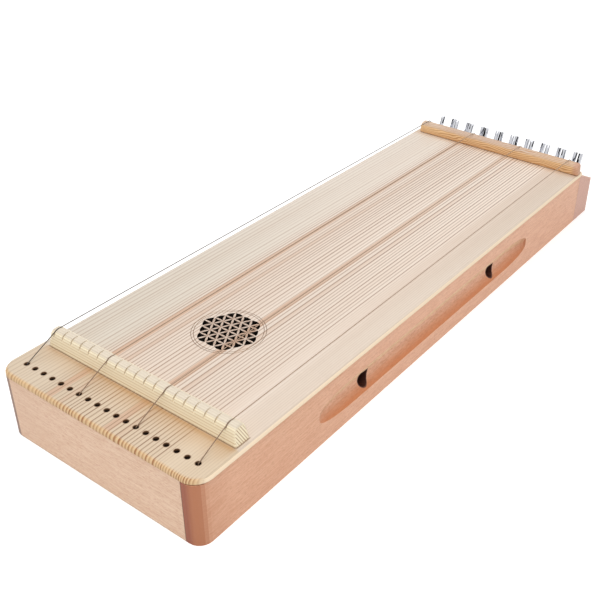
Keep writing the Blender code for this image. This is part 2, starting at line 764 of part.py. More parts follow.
def build_ball_end(station, material):
    """Brass barrel that stops a string under the shoulder of its passage."""
    top = BALL_SEAT_HEIGHT - GAP
    ease = 0.0004
    profile = ((0.0, BALL_RADIUS - ease), (ease, BALL_RADIUS), (BALL_HEIGHT - ease, BALL_RADIUS),
               (BALL_HEIGHT, BALL_RADIUS - ease))
    bm = bmesh.new()
    base = Vector((along(HOLE_ROW_X), station_y(station), top - BALL_HEIGHT))
    turned(bm, base, Vector((0, 0, 1)), profile, 12)
    add_object(f"ball_end_{station:02d}", mesh_from(bm, "ball_end", math.radians(40)), material)


def main():
    for old in list(bpy.data.objects):
        bpy.data.objects.remove(old, do_unlink=True)
    spruce = make_material("spruce", (232, 214, 192), 0.5)
    beech = make_material("beech", (224, 178, 148), 0.5)
    pale_wood = make_material("pale_wood", (234, 222, 190), 0.5)
    brown_wood = make_material("brown_wood", (206, 158, 108), 0.5)
    steel = make_material("string_steel", (120, 108, 100), 0.35, 1.0)
    nickel = make_material("nickel_plate", (200, 200, 202), 0.2, 1.0)
    brass = make_material("brass", (196, 160, 90), 0.3, 1.0)
    build_soundboard(spruce)
    build_side("side_right", -1, beech)
    build_side("side_left", 1, beech)
    build_hitch_block(beech)
    build_pin_block(beech)
    build_back_board(spruce)
    build_braces(spruce)
    build_near_bridge(pale_wood)
    build_far_bridge(brown_wood)
    build_pins(nickel)
    for station in STRUNG_STATIONS:
        build_string(station, steel)
        build_ball_end(station, brass)


main()
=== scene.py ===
"""Looks of the monochord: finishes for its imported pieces, its wire strings, its pins and the stage."""

import math

import bmesh
import bpy
from mathutils import Matrix, Vector


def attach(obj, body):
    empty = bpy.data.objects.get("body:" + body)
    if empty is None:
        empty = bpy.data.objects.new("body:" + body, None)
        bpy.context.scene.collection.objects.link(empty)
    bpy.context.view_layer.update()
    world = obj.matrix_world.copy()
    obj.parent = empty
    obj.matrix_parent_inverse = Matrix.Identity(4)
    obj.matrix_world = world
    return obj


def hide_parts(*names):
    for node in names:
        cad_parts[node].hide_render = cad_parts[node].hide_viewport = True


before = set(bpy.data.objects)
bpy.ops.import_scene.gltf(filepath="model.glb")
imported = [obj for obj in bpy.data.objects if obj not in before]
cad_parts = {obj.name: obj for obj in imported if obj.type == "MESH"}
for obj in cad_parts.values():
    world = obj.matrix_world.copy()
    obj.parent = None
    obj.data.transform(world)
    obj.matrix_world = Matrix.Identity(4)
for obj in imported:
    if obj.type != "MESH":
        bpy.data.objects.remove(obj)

bl_info = {
    "name": "Monochord",
    "version": (1, 0, 0),
    "blender": (4, 5, 0),
    "location": "View3D > Sidebar > Monochord",
    "description": "Dresses a packed monochord in its woods, wires and plated pins",
    "category": "Object",
}

# Places that the finishes share with the solids, in metres
STATIONS = 19
STRUNG = (1, 7, 13, 19)
STRING_PITCH = 0.00955
HOLE_X = -0.2928
HOLE_RADIUS = 0.0022
BOARD_TOP = 0.059
BOARD_UNDERSIDE = 0.0545
HALF_WIDTH = 0.0985
INNER_HALF_WIDTH = 0.0845
HITCH_BLOCK_REAR = -0.2785
JOINT_X = 0.273
ROSETTE_CENTRE = (-0.1718, -0.0024)
ROSETTE_RADIUS = 0.0262
COVE_MIDDLE = 0.0271
COVE_CENTRE_Y = 0.10529
COVE_SPAN = (-0.182, 0.152)
DROP_CENTRES = (-0.1197, 0.0876)
DROP_HEIGHT = 0.0222
DROP_RADIUS = 0.0051
DROP_TIP = math.hypot(0.0091, 0.0043)
DROP_HEADING = (0.0091 / DROP_TIP, 0.0043 / DROP_TIP)
DROP_TAPER = (math.sqrt(1 - (DROP_RADIUS / DROP_TIP) ** 2), DROP_RADIUS / DROP_TIP)
NEAR_BRIDGE_X = -0.268
NEAR_BRIDGE_MIDDLE = -0.261
BRIDGE_FOOT = 0.0593
SLOT_FLOOR = 0.0725
FAR_BRIDGE_X = 0.2585
BLOCK_SLOPE = math.radians(23.0)
PIN_TURN = math.radians(37.0)
PIN_RADIUS = 0.0025


def linear(channel):
    """Linear value of an sRGB channel from 0 to 255."""
    value = channel / 255
    if value <= 0.04045:
        return value / 12.92
    return ((value + 0.055) / 1.055) ** 2.4


def tone(red, green, blue):
    """Linear colour from sRGB channels from 0 to 255."""
    return (linear(red), linear(green), linear(blue))


def station_y(station):
    """Y of a string station; station 1 is on +Y."""
    return ((STATIONS + 1) / 2 - station) * STRING_PITCH


class Wire:
    """A socket of a finish that takes part in Python expressions."""

    def __init__(self, finish, socket):
        self.finish = finish
        self.socket = socket

    def math(self, operation, *others):
        return self.finish.node("ShaderNodeMath", {"operation": operation}, dict(enumerate((self, *others))))

    def __add__(self, other):
        return self.math("ADD", other)

    def __sub__(self, other):
        return self.math("SUBTRACT", other)

    def __rsub__(self, other):
        return self.finish.node("ShaderNodeMath", {"operation": "SUBTRACT"}, {0: other, 1: self})

    def __mul__(self, other):
        return self.math("MULTIPLY", other)

    def __truediv__(self, other):
        return self.math("DIVIDE", other)

    def __pow__(self, other):
        return self.math("POWER", other)

    def __neg__(self):
        return self * -1.0

    def __abs__(self):
        return self.math("ABSOLUTE")

    __radd__ = __add__
    __rmul__ = __mul__

    def between(self, low, high):
        """0 below low, 1 above high and a soft step between them."""
        settings = {"interpolation_type": "SMOOTHSTEP"}
        values = {"Value": self, "From Min": low, "From Max": high, "To Min": 0.0, "To Max": 1.0}
        return self.finish.node("ShaderNodeMapRange", settings, values)

    def near(self, centre, half, soft):
        """1 within half of a centre, fading to 0 over soft on both sides."""
        return 1.0 - abs(self - centre).between(half, half + soft)


class Finish:
    """Node tree of one finish."""

    def __init__(self, name):
        self.material = bpy.data.materials.new(name)
        self.material.use_nodes = True
        self.tree = self.material.node_tree
        self.tree.nodes.clear()

    def node(self, kind, settings, values, output=0):
        """New node with its settings made and its sockets set or linked."""
        made = self.tree.nodes.new(kind)
        for key, value in settings.items():
            setattr(made, key, value)
        for key, value in values.items():
            self.plug(made.inputs[key], value)
        return Wire(self, made.outputs[output]) if made.outputs else None

    def plug(self, socket, value):
        """Link a wire to a socket, or set the socket's own value."""
        if isinstance(value, Wire):
            self.tree.links.new(value.socket, socket)
        elif socket.type == "RGBA" and len(value) == 3:
            socket.default_value = (*value, 1.0)
        else:
            socket.default_value = value

    def place(self):
        """X, Y and Z of the shaded point in the object's own frame."""
        point = self.node("ShaderNodeTexCoord", {}, {}, "Object")
        return [self.node("ShaderNodeSeparateXYZ", {}, {0: point}, axis) for axis in range(3)]

    def facing(self):
        """X, Y and Z of the surface's own direction."""
        normal = self.node("ShaderNodeTexCoord", {}, {}, "Normal")
        return [self.node("ShaderNodeSeparateXYZ", {}, {0: normal}, axis) for axis in range(3)]

    def noise(self, x, y, z, detail=2.0):
        """Noise from 0 to 1 over three coordinates that carry their own scale."""
        point = self.node("ShaderNodeCombineXYZ", {}, {0: x, 1: y, 2: z})
        return self.node("ShaderNodeTexNoise", {}, {"Vector": point, "Scale": 1.0, "Detail": detail})

    def chance(self, number):
        """A value from 0 to 1 of its own for each whole number."""
        return self.node("ShaderNodeTexWhiteNoise", {"noise_dimensions": "1D"}, {"W": number})

    def mix(self, share, first, second):
        """Colour between two colours."""
        return self.node("ShaderNodeMix", {"data_type": "RGBA"}, {0: share, 6: first, 7: second}, 2)

    def surface(self, colour, roughness, height=None, depth=0.0001, metallic=0.0):
        """Finish the tree with one Principled surface."""
        values = {"Base Color": colour, "Roughness": roughness, "Metallic": metallic}
        if height is not None:
            values["Normal"] = self.node("ShaderNodeBump", {}, {"Distance": depth, "Height": height})
        shader = self.node("ShaderNodeBsdfPrincipled", {}, values)
        self.node("ShaderNodeOutputMaterial", {}, {"Surface": shader})
        return self.material


def spruce_finish(sizes):
    """Quarter-sawn spruce: straight growth rings, warm streaks, end grain and near-black cut-out walls, with
    painted shade in front of both bridges, painted shadows of two strings, and painted shade down the string
    holes and on its underside.
    """
    finish = Finish("spruce_top")
    x, y, z = finish.place()
    nx, ny, nz = finish.facing()
    waver = finish.noise(x * 6.0, y * 30.0, 0.0) - 0.5
    across = y + waver * 0.0010 + x * 0.004
    stretch = finish.noise(0.0, across * 40.0, 2.0, 1.0)
    margin = (-across - 0.064).math("MAXIMUM", 0.0)
    count = (across - margin * 0.6) / sizes.ring_spacing + stretch * 2.5
    phase = count.math("FRACT")
    chance = finish.chance(count.math("FLOOR"))
    line = phase.between(0.5, 0.85) * (1.0 - phase.between(0.88, 0.97))
    grained = across.between(-0.069, -0.061) * (1.0 - across.between(0.050, 0.058))
    distance = x.between(-0.26, 0.24)
    plainer = across.between(-0.069, -0.061) * 0.35 + 0.25
    front = 1.0 - x.between(-0.2700, -0.2670)
    strength = (chance * 0.4 + 0.58) * (grained * 0.4 + plainer)
    strength = strength * (1.0 - front * across.between(0.02, 0.05) * 0.4)
    strength = strength * (1.0 - distance * across.between(0.040, 0.056) * 0.45)
    fibre = finish.noise(x * 60.0, y * 2600.0, z * 2600.0, 3.0)
    broad = finish.noise(x * 2.0, across * 45.0, 0.9)
    colour = finish.mix(broad.between(0.3, 0.7), sizes.spruce_pale, sizes.spruce_warm)
    lighter = distance * grained * ((-across).between(-0.01, 0.02) * 0.3 + 0.45)
    colour = finish.mix(lighter, colour, tone(250, 236, 222))
    colour = finish.mix((1.0 - across.between(-0.086, -0.074)) * 0.45, colour, tone(218, 202, 184))
    left_tone = finish.mix(distance, tone(199, 195, 180), tone(230, 221, 209))
    colour = finish.mix(across.between(0.040, 0.060) * (1.0 - front) * 0.5, colour, left_tone)
    colour = finish.mix(front * 0.7, colour, tone(210, 187, 154))
    colour = finish.mix(front * y.between(0.0, 0.06) * 0.5, colour, tone(206, 190, 168))
    # Two warm streaks in the wood, and two fainter painted shadows of strings 7 and 13 on the board, in the
    # same warm colour.
    strong = across.near(0.0436, 0.0026, 0.0010) + across.near(-0.0158, 0.0028, 0.0010)
    string_shadows = across.near(0.0310, 0.0016, 0.0012) + across.near(-0.0270, 0.0010, 0.0012)
    streak_and_shadow_share = (strong * 0.85 + string_shadows * 0.35) * (1.0 - x.between(-0.2, 0.2) * 0.4)
    colour = finish.mix(streak_and_shadow_share, colour, sizes.spruce_streak_and_shadow)
    thin = ((count + chance * 0.2) * 3.0).math("FRACT")
    thin = thin.between(0.3, 0.7) * (1.0 - thin.between(0.75, 0.95)) * 0.16
    ring_tone = finish.mix(distance, sizes.spruce_ring, tone(122, 80, 54))
    ring_tone = finish.mix(front * 0.8, ring_tone, tone(122, 80, 46))
    colour = finish.mix(line * strength + (1.0 - line) * thin * grained, colour, ring_tone)
    # Painted warm shade on the board in front of the near bridge's foot and in front of the far bridge's
    # foot.
    under_bridge = (1.0 - abs(y + 0.002).between(0.092, 0.097)) * (1.0 - y.between(0.0, 0.08) * 0.4)
    glow = front * (x.between(-0.2900, -0.2690) * 0.38 + x.between(-0.2745, -0.2685) * 0.36) * under_bridge
    rear = x.between(0.2480, 0.2590)
    colour = finish.mix(glow + rear * 0.35, colour, tone(190, 142, 84))
    # Painted contact shadow: a thin dark line on the board along the near bridge's foot and round its right
    # end.
    contact_shadow = x.near(-0.2682, 0.0003, 0.0004) * (1.0 - abs(y + 0.002).between(0.0935, 0.0942))
    contact_shadow = contact_shadow + y.near(-0.0962, 0.0002, 0.0004) * x.near(-0.2610, 0.0068, 0.0004)
    colour = finish.mix(contact_shadow * 0.6, colour, tone(132, 92, 40))
    colour = finish.mix(fibre.between(0.45, 0.8) * 0.2, colour, tone(196, 168, 146))
    end_grain = (-nx).between(0.06, 0.34) * (1.0 - x.between(-0.3060, -0.2980))
    bars = phase.between(0.25, 0.7) * (1.0 - phase.between(0.88, 1.0)) * (chance * 0.5 + 0.5)
    bars = bars * (1.0 - y.between(0.02, 0.05) * 0.35) * (1.0 - abs(ny).between(0.2, 0.8) * 0.6)
    end_colour = finish.mix(bars, tone(226, 192, 146), tone(158, 102, 56))
    colour = finish.mix(end_grain, colour, end_colour)
    colour = finish.mix(abs(ny).between(0.5, 0.9) * (1.0 - end_grain), colour, tone(255, 232, 200))
    radius = ((x - ROSETTE_CENTRE[0]) ** 2.0 + (y - ROSETTE_CENTRE[1]) ** 2.0).math("SQRT")
    upright = 1.0 - abs(nz).between(0.3, 0.6)
    engraved = radius.between(ROSETTE_RADIUS, ROSETTE_RADIUS + 0.0002)
    engraved = engraved * (1.0 - radius.between(0.0302, 0.0303))
    engraved = engraved * (1.0 - z.between(BOARD_TOP - 0.0003, BOARD_TOP - 0.0001))
    colour = finish.mix(engraved * 0.8, colour, tone(120, 92, 68))
    pierced = 1.0 - radius.between(ROSETTE_RADIUS, ROSETTE_RADIUS + 0.0002)
    bored = x.near(HOLE_X, HOLE_RADIUS, 0.0002) * (1.0 - abs(y).between(0.089, 0.0895))
    colour = finish.mix((1.0 - radius.between(0.0205, 0.0235)) * 0.4, colour, tone(150, 112, 84))
    # Near-black walls in the rosette's cut-outs.
    colour = finish.mix(upright * pierced, colour, tone(28, 18, 12))
    aside = ((y / STRING_PITCH + 0.5).math("FRACT") - 0.5) * STRING_PITCH
    reach = ((x - HOLE_X) ** 2.0 + aside ** 2.0).math("SQRT")
    ringed = reach.near(HOLE_RADIUS, 0.0002, 0.0004) * (1.0 - abs(y).between(0.089, 0.0895))
    colour = finish.mix(ringed * 0.5, colour, tone(120, 78, 42))
    # Painted shade down the string holes: their walls darken from just under the rim towards the bottom.
    rim = z.between(BOARD_TOP - 0.0020, BOARD_TOP - 0.0004)
    colour = finish.mix(upright * bored, colour, finish.mix(rim, tone(40, 25, 16), tone(132, 96, 66)))
    # Painted shade on the downward-facing underside, inside the box.
    colour = finish.mix((-nz).between(0.6, 0.9), colour, tone(96, 66, 44))
    return finish.surface(colour, fibre * 0.12 + 0.5, line * 0.6 + fibre * 0.4, 0.00005)


def beech(finish, long_way, first, second, light, dark):
    """Colour and fine relief of beech: faint long bands, fine fibres and short darker flecks."""
    band = finish.noise(long_way * 4.0, first * 90.0, second * 90.0, 3.0)
    figure = finish.noise(long_way * 60.0, first * 700.0, second * 700.0, 2.0)
    fibre = finish.noise(long_way * 140.0, first * 2200.0, second * 2200.0, 3.0)
    fleck = finish.noise(long_way * 380.0, first * 1500.0, second * 1500.0, 1.0)
    colour = finish.mix(band.between(0.25, 0.8) * 0.35 + figure.between(0.35, 0.65) * 0.65, light, dark)
    colour = finish.mix(fleck.between(0.5, 0.7) * 0.4, colour, tone(200, 136, 100))
    return finish.mix(fibre.between(0.5, 0.8) * 0.35, colour, dark), fibre


def side_finish(sizes):
    """Beech side with end grain and painted shade at its near corner, painted light and shade in its cove,
    painted shade on its inner face, and dark walls and outlines on its teardrops.
    """
    finish = Finish("beech_side")
    x, y, z = finish.place()
    nx, ny, nz = finish.facing()
    colour, fibre = beech(finish, x, y, z, sizes.beech_light, sizes.beech_dark)
    depth = HALF_WIDTH - abs(y)
    inward = ((abs(y) - COVE_CENTRE_Y) ** 2.0 + (z - COVE_MIDDLE) ** 2.0).math("SQRT")
    upward = (COVE_MIDDLE - z) / inward
    cove = depth.between(0.00002, 0.00015) * x.between(COVE_SPAN[0] - 0.001, COVE_SPAN[0] + 0.001)
    cove = cove * (1.0 - x.between(COVE_SPAN[1] - 0.001, COVE_SPAN[1] + 0.001))
    cove = cove * (1.0 - depth.between(0.0075, 0.0080))
    mottle = finish.noise(x * 260.0, y * 900.0, z * 900.0, 2.0)
    # Painted light on the cove's upper half, which faces down, and painted shade on its lower half, which
    # faces up, darkest at the lower edge.
    colour = finish.mix((1.0 - upward.between(-0.3, 0.2)) * cove * 0.85, colour, tone(255, 230, 186))
    colour = finish.mix(upward.between(0.1, 0.9) * cove * 0.85, colour, tone(200, 117, 63))
    colour = finish.mix(mottle.between(0.45, 0.65) * cove * 0.27, colour, tone(184, 108, 58))
    # Painted shade where the cove runs out at both ends.
    ends = x.between(0.10, 0.15) + (1.0 - x.between(-0.182, -0.150))
    colour = finish.mix(ends * cove * 0.3, colour, tone(208, 124, 76))
    colour = finish.mix((1.0 - x.between(-0.22, -0.10)) * 0.12, colour, tone(196, 146, 100))
    # Near corner: the side's own darker end grain, with painted shade from the board's overhang on it,
    # darkest at the crease; the painted shade carries a little way along the side towards its near end.
    end_grain = (-nx).between(-0.1, 0.7)
    crease = 1.0 - abs(y).between(0.0870, 0.0935)
    end_grain_and_shade_tone = finish.mix(crease, tone(182, 114, 76), tone(150, 74, 44))
    colour = finish.mix((1.0 - x.between(-0.2985, -0.2700)) * 0.3, colour, tone(196, 130, 92))
    colour = finish.mix(end_grain * 0.95, colour, end_grain_and_shade_tone)
    # Painted shade on the side's inner face, inside the box.
    inner = (1.0 - abs(y).between(INNER_HALF_WIDTH + 0.0001, INNER_HALF_WIDTH + 0.0003))
    colour = finish.mix(inner, colour, tone(88, 58, 40))
    drop = 0.0
    drop_outline = 0.0
    for centre in DROP_CENTRES:
        reach = ((x - centre) ** 2.0 + (z - DROP_HEIGHT) ** 2.0).math("SQRT")
        drop = (1.0 - reach.between(0.0112, 0.0114)) + drop
        run = (x - centre) * DROP_HEADING[0] + (z - DROP_HEIGHT) * DROP_HEADING[1]
        aside = abs((z - DROP_HEIGHT) * DROP_HEADING[0] - (x - centre) * DROP_HEADING[1])
        flank = aside * DROP_TAPER[0] - (DROP_TIP - run) * DROP_TAPER[1]
        flank = flank.math("MAXIMUM", DROP_RADIUS * DROP_TAPER[1] - run)
        drop_outline = (1.0 - (reach - DROP_RADIUS).math("MINIMUM", flank).between(0.0004, 0.0008)) + drop_outline
    # Dark teardrop walls, and a dark outline round each teardrop on the outer face.
    colour = finish.mix(drop * (1.0 - abs(ny).between(0.2, 0.35)), colour, tone(104, 38, 24))
    colour = finish.mix(drop_outline * depth.between(0.00002, 0.00015) * 0.9, colour, tone(58, 26, 16))
    return finish.surface(colour, fibre * 0.12 + 0.45, fibre, 0.00003)


def hitch_block_finish(sizes):
    """Near block: beech across the box, its own end grain on the left corner with painted shade on it,
    painted shade on its rear face and a painted contact shadow low on its faces.
    """
    finish = Finish("beech_hitch_block")
    x, y, z = finish.place()
    nx, ny, nz = finish.facing()
    colour, fibre = beech(finish, y, x, z, sizes.block_light, sizes.block_dark)
    pores = finish.noise(x * 900.0, y * 900.0, z * 1500.0, 3.0)
    # Left corner: the block's own end grain, painted darker as shade where the corner grazes away, pinker
    # where it faces more to the left.
    end_colour = finish.mix(pores.between(0.4, 0.7) * 0.5, tone(150, 116, 100), tone(124, 92, 78))
    colour = finish.mix(y.between(0.02, 0.09) * 0.35, colour, tone(220, 180, 150))
    end_colour = finish.mix(ny.between(0.45, 0.95) * 0.75, end_colour, tone(206, 146, 112))
    colour = finish.mix(ny.between(0.01, 0.09), colour, end_colour)
    # Painted shade on the block's rear face, inside the box.
    inner = x.between(HITCH_BLOCK_REAR - 0.0002, HITCH_BLOCK_REAR) * (1.0 - abs(y).between(0.0843, 0.0845))
    colour = finish.mix(inner, colour, tone(88, 58, 40))
    # Painted contact shadow along the bottom of the block's faces, where it meets the floor.
    colour = finish.mix((1.0 - z.between(0.0003, 0.0009)) * 0.5, colour, tone(112, 92, 84))
    return finish.surface(colour, fibre * 0.12 + 0.45, fibre, 0.00003)


def pin_block_finish(sizes):
    """Far block: beech across the box, end grain on both ends with a painted sheen on their far rounded
    edges, and painted shade on its inner face.
    """
    finish = Finish("beech_pin_block")
    x, y, z = finish.place()
    nx, ny, nz = finish.facing()
    colour, fibre = beech(finish, y, x, z, sizes.block_light, sizes.block_dark)
    pores = finish.noise(x * 900.0, y * 900.0, z * 1500.0, 3.0)
    end_colour = finish.mix(pores.between(0.4, 0.7) * 0.5, tone(222, 175, 156), tone(188, 139, 122))
    # Painted sheen: the end grain's far rounded edges turn pale lilac-grey.
    end_colour = finish.mix(nx.between(0.05, 0.6), end_colour, tone(214, 196, 190))
    colour = finish.mix(abs(ny).between(0.2, 0.5), colour, end_colour)
    # Painted shade on the block's inner face, inside the box.
    inner = (1.0 - x.between(JOINT_X, JOINT_X + 0.0002)) * (1.0 - abs(y).between(0.0843, 0.0845))
    colour = finish.mix(inner, colour, tone(88, 58, 40))
    return finish.surface(colour, fibre * 0.12 + 0.45, fibre, 0.00003)


def inside_finish(name, light, dark):
    """Plain straight-grained wood, with painted shade over all of it above its lowest 0.6 mm, where it lies
    inside the box.
    """
    finish = Finish(name)
    x, y, z = finish.place()
    waver = finish.noise(x * 7.0, y * 60.0, z * 60.0) - 0.5
    phase = ((y + waver * 0.002) / 0.003).math("FRACT")
    line = phase.between(0.3, 0.9) * (1.0 - phase.between(0.93, 1.0))
    fibre = finish.noise(x * 70.0, y * 2200.0, z * 2200.0, 3.0)
    colour = finish.mix(line * 0.5, light, dark)
    colour = finish.mix(fibre.between(0.5, 0.8) * 0.3, colour, dark)
    # Painted shade: everything above the lowest 0.6 mm is darkened, inside the box.
    colour = finish.mix(z.between(0.0002, 0.0006), colour, tone(78, 54, 38))
    return finish.surface(colour, fibre * 0.12 + 0.5, line * 0.5 + fibre * 0.5, 0.00005)


def near_bridge_finish(sizes):
    """Pale bar: level lines on its faces, slanting rings on its ends, a painted cool highlight along its top,
    painted shade in and beside its slots and a painted contact shadow low on its faces.
    """
    finish = Finish("pale_bridge")
    x, y, z = finish.place()
    nx, ny, nz = finish.facing()
    waver = finish.noise(x * 60.0, y * 10.0, z * 60.0) - 0.5
    outer_end = abs(ny).between(0.6, 0.9) * abs(y + 0.002).between(0.0915, 0.0918)
    slope = outer_end * 0.7 + 1.3
    around = z + (x - NEAR_BRIDGE_MIDDLE) * slope + waver * 0.0008
    count = around / (outer_end * 0.0014 + 0.0027)
    phase = count.math("FRACT")
    line = phase.between(0.4, 0.75) * (1.0 - phase.between(0.8, 0.95))
    line = line * (finish.chance(count.math("FLOOR")) * 0.5 + 0.5)
    fibre = finish.noise(x * 2000.0, y * 90.0, z * 2000.0, 3.0)
    colour = finish.mix(line * (0.62 + outer_end * 0.3), sizes.bridge_pale, tone(190, 150, 90))
    colour = finish.mix(line * outer_end * 0.5, colour, tone(176, 144, 122))
    # Painted highlight: a cool band along the top.
    crest = z.between(0.0712, 0.0728) * (1.0 - outer_end)
    colour = finish.mix(crest * 0.7, colour, tone(206, 193, 178))
    # Painted shade beside and inside the string slots.
    pitch = (y / STRING_PITCH + 0.5).math("FRACT")
    lip = abs(pitch - 0.5).near(0.0, 0.035, 0.03) * z.between(0.0675, 0.0735)
    lip = lip * (1.0 - x.between(-0.2625, -0.2600))
    colour = finish.mix(lip * 0.2, colour, tone(180, 164, 144))
    wall = abs(ny).between(0.6, 0.9) - outer_end
    colour = finish.mix(wall * 0.7, colour, tone(214, 202, 186))
    # Painted contact shadow along the bottom of the bar.
    foot = 1.0 - z.between(BRIDGE_FOOT, BRIDGE_FOOT + 0.0007)
    colour = finish.mix(foot * 0.25, colour, tone(176, 130, 74))
    return finish.surface(colour, fibre * 0.12 + 0.42, line * 0.5 + fibre * 0.5, 0.00004)


def far_bridge_finish(sizes):
    """Orange-brown strip with fine wavy figure, pinker and paler on its top and at its right end."""
    finish = Finish("brown_bridge")
    x, y, z = finish.place()
    nx, ny, nz = finish.facing()
    sweep = finish.noise(x * 50.0, y * 26.0, z * 50.0)
    phase = (sweep * 7.0 + z * 500.0 + x * 340.0 + y * 16.0).math("FRACT")
    line = phase.between(0.25, 0.75) * (1.0 - phase.between(0.8, 0.95))
    line = line * (1.0 - y.between(0.05, 0.09) * 0.5)
    fibre = finish.noise(x * 2000.0, y * 110.0, z * 2000.0, 3.0)
    top = nz.between(0.25, 0.8)
    pale = top * 0.85 * (1.0 - y.between(0.04, 0.09) * 0.15) * (1.0 - (-y).between(0.0, 0.08) * 0.25)
    colour = finish.mix(pale, sizes.bridge_light, tone(200, 184, 172))
    colour = finish.mix(line * (0.85 - top * 0.05), colour, sizes.bridge_brown)
    colour = finish.mix(fibre.between(0.5, 0.75) * 0.3, colour, tone(168, 116, 74))
    colour = finish.mix((-y).between(0.0915, 0.0965) * 0.7, colour, tone(198, 148, 126))
    low = 1.0 - z.between(BRIDGE_FOOT, BRIDGE_FOOT + 0.006)
    colour = finish.mix(low * 0.25, colour, tone(190, 120, 56))
    # Painted contact shadow along the bottom of the strip.
    foot = 1.0 - z.between(BRIDGE_FOOT, BRIDGE_FOOT + 0.0008)
    colour = finish.mix(foot * 0.8, colour, tone(120, 68, 36))
    return finish.surface(colour, fibre * 0.12 + 0.42, line * 0.4 + fibre * 0.6, 0.00005)


def metal_finish(name, colour, dark, roughness, metallic=1.0, near_share=0.0):
    """Metal with fine marks, browner by a share on the near side of the near bridge."""
    finish = Finish(name)
    x, y, z = finish.place()
    marks = finish.noise(x * 700.0, y * 700.0, z * 120.0)
    shade = finish.mix(marks.between(0.4, 0.8) * 0.25, colour, dark)
    shade = finish.mix((1.0 - x.between(-0.2640, -0.2580)) * near_share, shade, tone(96, 66, 44))
    return finish.surface(shade, marks * 0.08 + roughness, metallic=metallic)


def dress(node, material):
    """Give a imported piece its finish."""
    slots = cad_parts[node].data.materials
    slots.clear()
    slots.append(material)


def add_piece(name, data, material, body, node):
    """Link a piece that stands for a packed one and rides on its body."""
    piece = bpy.data.objects.new(name, data)
    bpy.context.scene.collection.objects.link(piece)
    data.materials.append(material)
    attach(piece, body)
    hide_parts(node)
    return piece


def pin_place(station):
    """Point where a pin's axis meets the pin block's sloping top."""
    row = (station + 1) % 2
    rise = 0.0162 + row * 0.0101 * math.cos(BLOCK_SLOPE)
    return Vector((JOINT_X + rise, station_y(station), 0.054 - rise * math.tan(BLOCK_SLOPE)))


def rounded_route(corners, reach, steps):
    """Path through its corners, each one rounded from a given reach before it."""
    route = [corners[0]]
    for before, corner, after in zip(corners, corners[1:], corners[2:]):
        start = corner + (before - corner).normalized() * reach
        end = corner + (after - corner).normalized() * reach
        for i in range(steps + 1):
            t = i / steps
            route.append(start * (1 - t) ** 2 + corner * 2 * t * (1 - t) + end * t ** 2)
    route.append(corners[-1])
    return route


def string_route(station):
    """Way of one wire from its ball end, over both bridges, to the last turn on its pin."""
    y = station_y(station)
    over_slot = SLOT_FLOOR + 0.0006
    bend = NEAR_BRIDGE_X + 0.0055
    corners = [
        Vector((HOLE_X, y, 0.008)),
        Vector((HOLE_X, y, over_slot - (bend - HOLE_X) * 0.478)),
        Vector((bend, y, over_slot)),
        Vector((FAR_BRIDGE_X + 0.0078, y, 0.0717)),
    ]
    base = pin_place(station)
    axis = Vector((math.sin(BLOCK_SLOPE), 0.0, math.cos(BLOCK_SLOPE)))
    across = Vector((0, 1, 0))
    forward = across.cross(axis)
    turns, steps = 3, 24
    winding = []
    for i in range(turns * steps + 1):
        angle = -math.pi / 2 + 2 * math.pi * i / steps
        height = 0.0051 - 0.00108 * i / steps
        winding.append(base + axis * height + (forward * math.cos(angle) + across * math.sin(angle)) * 0.0031)
    lead_in = winding[0] - (winding[1] - winding[0]) * 2
    points = rounded_route([*corners, lead_in, winding[0]], 0.001, 6)[:-1] + winding
    points.append(winding[-1] + (winding[-1] - winding[-2]).normalized() * 0.0007)
    return points


def ring_edges(bm, z):
    """Edges that lie level at a height."""
    return [edge for edge in bm.edges if all(abs(vert.co.z - z) < 1e-6 for vert in edge.verts)]


def grow_rod(bm, radius, low, high, sides):
    """Upright rod from an extruded circle."""
    made = bmesh.ops.create_circle(bm, cap_ends=True, radius=radius, segments=sides,
                                   matrix=Matrix.Translation((0, 0, low)))
    cap = [face for face in bm.faces if all(vert in made["verts"] for vert in face.verts)]
    grown = bmesh.ops.extrude_face_region(bm, geom=cap, use_keep_orig=True)
    verts = [item for item in grown["geom"] if isinstance(item, bmesh.types.BMVert)]
    bmesh.ops.translate(bm, verts=verts, vec=(0, 0, high - low))


def pin_head(sizes):
    """Square tapered head cut from a rod by four leaning planes, with eased edges."""
    bm = bmesh.new()
    low = sizes.pin_proud - sizes.pin_head
    grow_rod(bm, PIN_RADIUS * 0.995, low - 0.0002, sizes.pin_proud, 48)
    for quarter in range(4):
        angle = quarter * math.pi / 2
        outward = Vector((math.cos(angle), math.sin(angle), 0.0))
        lean = (outward + Vector((0, 0, 0.012))).normalized()
        place = outward * sizes.pin_half_flat + Vector((0, 0, low))
        cut = bmesh.ops.bisect_plane(bm, geom=[*bm.verts, *bm.edges, *bm.faces], plane_co=place,
                                     plane_no=lean, clear_outer=True)
        rim = [item for item in cut["geom_cut"] if isinstance(item, bmesh.types.BMEdge)]
        bmesh.ops.contextual_create(bm, geom=rim)
    top = ring_edges(bm, sizes.pin_proud)
    bmesh.ops.bevel(bm, geom=top, offset=0.0004, segments=3, profile=0.5, affect="EDGES", material=-1)
    return bm


def pin_shape(sizes):
    """Mesh of one tuning pin along its own Z, with zero at the block's top."""
    bm = bmesh.new()
    neck = sizes.pin_proud - sizes.pin_head
    grow_rod(bm, PIN_RADIUS, -0.020, neck, 48)
    for height in (-0.020, neck):
        bmesh.ops.bevel(bm, geom=ring_edges(bm, height), offset=0.00035, segments=3, profile=0.5,
                        affect="EDGES", material=-1)
    head = pin_head(sizes)
    joined = bpy.data.meshes.new("pin_head")
    head.to_mesh(joined)
    head.free()
    bm.from_mesh(joined)
    bpy.data.meshes.remove(joined)
    bmesh.ops.recalc_face_normals(bm, faces=bm.faces)
    for face in bm.faces:
        face.smooth = True
    return bm


